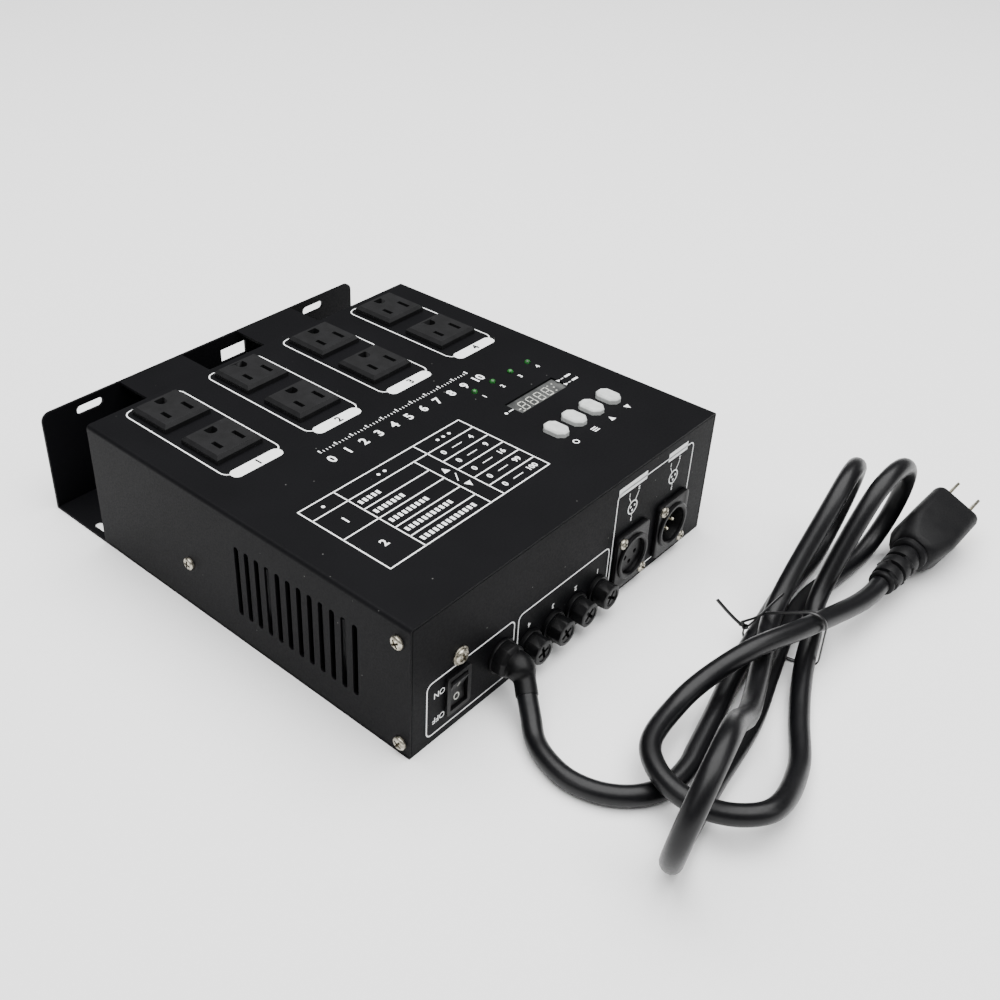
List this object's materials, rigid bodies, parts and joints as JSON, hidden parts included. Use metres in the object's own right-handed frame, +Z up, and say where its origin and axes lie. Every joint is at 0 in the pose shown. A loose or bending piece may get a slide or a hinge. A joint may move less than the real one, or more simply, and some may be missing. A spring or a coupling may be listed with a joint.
{
  "type": "dimmer pack",
  "caption": "Folded steel dimmer pack with grounded outlets on top, key and display panel, fuse and control connector front, rear hanging plate and a supply cord tied in a hank.",
  "frame": {"origin": "on the floor below the middle of the rigid pack, without the supply cord", "axes": "+X along the front panel, to the right when facing it; +Y from the front panel to the hanging plate; +Z up"},
  "size_m": [0.32, 0.3851, 0.074],
  "materials": {
    "powder_coat": "fine satin powder coat",
    "plated_screws": "plated",
    "outlet_plastic": "moulded",
    "green_lens": "diffused lens",
    "grey_plastic": "moulded",
    "tinted_window": "polished",
    "circuit_board": "solder resist",
    "black_plastic": "moulded",
    "fuse_glass": "clear",
    "heat_sink_metal": "extruded",
    "core_laminations": "varnished",
    "wire_insulation": "extruded",
    "cord_jacket": "satin",
    "plated_blades": "plated",
    "brass_pin": "drawn",
    "tie_wire": "coated wire"
  },
  "bodies": {
    "case": {"top_cover": "powder_coat", "base_pan": "powder_coat", "rear_panel": "powder_coat", "left_screw_1": "plated_screws", "left_screw_2": "plated_screws", "left_screw_3": "plated_screws", "right_screw_1": "plated_screws", "right_screw_2": "plated_screws", "right_screw_3": "plated_screws", "outlet_1a": "outlet_plastic", "outlet_1b": "outlet_plastic", "outlet_2a": "outlet_plastic", "outlet_2b": "outlet_plastic", "outlet_3a": "outlet_plastic", "outlet_3b": "outlet_plastic", "outlet_4a": "outlet_plastic", "outlet_4b": "outlet_plastic", "led_1": "green_lens", "led_2": "green_lens", "led_3": "green_lens", "led_4": "green_lens", "display_window": "tinted_window", "display_module": "grey_plastic", "control_board": "circuit_board", "rocker_frame": "black_plastic", "fuse_holder_1": "black_plastic", "fuse_holder_2": "black_plastic", "fuse_holder_3": "black_plastic", "fuse_holder_4": "black_plastic", "xlr_out_shell": "black_plastic", "xlr_out_insert": "black_plastic", "xlr_in_shell": "black_plastic", "xlr_in_insert": "plated_screws", "ground_screw": "plated_screws", "power_board": "circuit_board", "heat_sink": "heat_sink_metal", "transformer": "core_laminations", "supply_wire": "wire_insulation", "cord_gland": "black_plastic", "cord_lead": "cord_jacket", "cord_hank": "cord_jacket", "plug_body": "cord_jacket", "plug_blade_left": "plated_blades", "plug_blade_right": "plated_blades", "plug_ground_pin": "brass_pin", "cord_tie": "tie_wire"},
    "power_switch": {"rocker_paddle": "black_plastic"},
    "key_1": {"button_1": "grey_plastic"},
    "key_2": {"button_2": "grey_plastic"},
    "key_3": {"button_3": "grey_plastic"},
    "key_4": {"button_4": "grey_plastic"},
    "fuse_link_1": {"fuse_1": "fuse_glass"},
    "fuse_link_2": {"fuse_2": "fuse_glass"},
    "fuse_link_3": {"fuse_3": "fuse_glass"},
    "fuse_link_4": {"fuse_4": "fuse_glass"},
    "fuse_knob_1": {"fuse_cap_1": "black_plastic"},
    "fuse_knob_2": {"fuse_cap_2": "black_plastic"},
    "fuse_knob_3": {"fuse_cap_3": "black_plastic"},
    "fuse_knob_4": {"fuse_cap_4": "black_plastic"}
  },
  "joints": [
    {"name": "power_rock", "type": "hinge", "parent": "case", "child": "power_switch", "pos_m": [-0.0815, -0.12055, 0.02], "axis": [1, 0, 0], "range_deg": [-16, 0]},
    {"name": "key_1_press", "type": "slide", "parent": "case", "child": "key_1", "axis": [0, 0, -1], "range_m": [0, 0.0004], "stiffness_N_per_m": 600},
    {"name": "key_2_press", "type": "slide", "parent": "case", "child": "key_2", "axis": [0, 0, -1], "range_m": [0, 0.0004], "stiffness_N_per_m": 600},
    {"name": "key_3_press", "type": "slide", "parent": "case", "child": "key_3", "axis": [0, 0, -1], "range_m": [0, 0.0004], "stiffness_N_per_m": 600},
    {"name": "key_4_press", "type": "slide", "parent": "case", "child": "key_4", "axis": [0, 0, -1], "range_m": [0, 0.0004], "stiffness_N_per_m": 600},
    {"name": "fuse_1_pull", "type": "slide", "parent": "case", "child": "fuse_link_1", "axis": [0, -1, 0], "range_m": [0, 0.034]},
    {"name": "fuse_2_pull", "type": "slide", "parent": "case", "child": "fuse_link_2", "axis": [0, -1, 0], "range_m": [0, 0.034]},
    {"name": "fuse_3_pull", "type": "slide", "parent": "case", "child": "fuse_link_3", "axis": [0, -1, 0], "range_m": [0, 0.034]},
    {"name": "fuse_4_pull", "type": "slide", "parent": "case", "child": "fuse_link_4", "axis": [0, -1, 0], "range_m": [0, 0.034]},
    {"name": "fuse_1_turn", "type": "hinge", "parent": "fuse_link_1", "child": "fuse_knob_1", "pos_m": [-0.0334, -0.1252, 0.0133], "axis": [0, 1, 0], "range_deg": [0, 60]},
    {"name": "fuse_2_turn", "type": "hinge", "parent": "fuse_link_2", "child": "fuse_knob_2", "pos_m": [-0.0164, -0.1252, 0.0133], "axis": [0, 1, 0], "range_deg": [0, 60]},
    {"name": "fuse_3_turn", "type": "hinge", "parent": "fuse_link_3", "child": "fuse_knob_3", "pos_m": [0.0006, -0.1252, 0.0133], "axis": [0, 1, 0], "range_deg": [0, 60]},
    {"name": "fuse_4_turn", "type": "hinge", "parent": "fuse_link_4", "child": "fuse_knob_4", "pos_m": [0.0176, -0.1252, 0.0133], "axis": [0, 1, 0], "range_deg": [0, 60]}
  ]
}
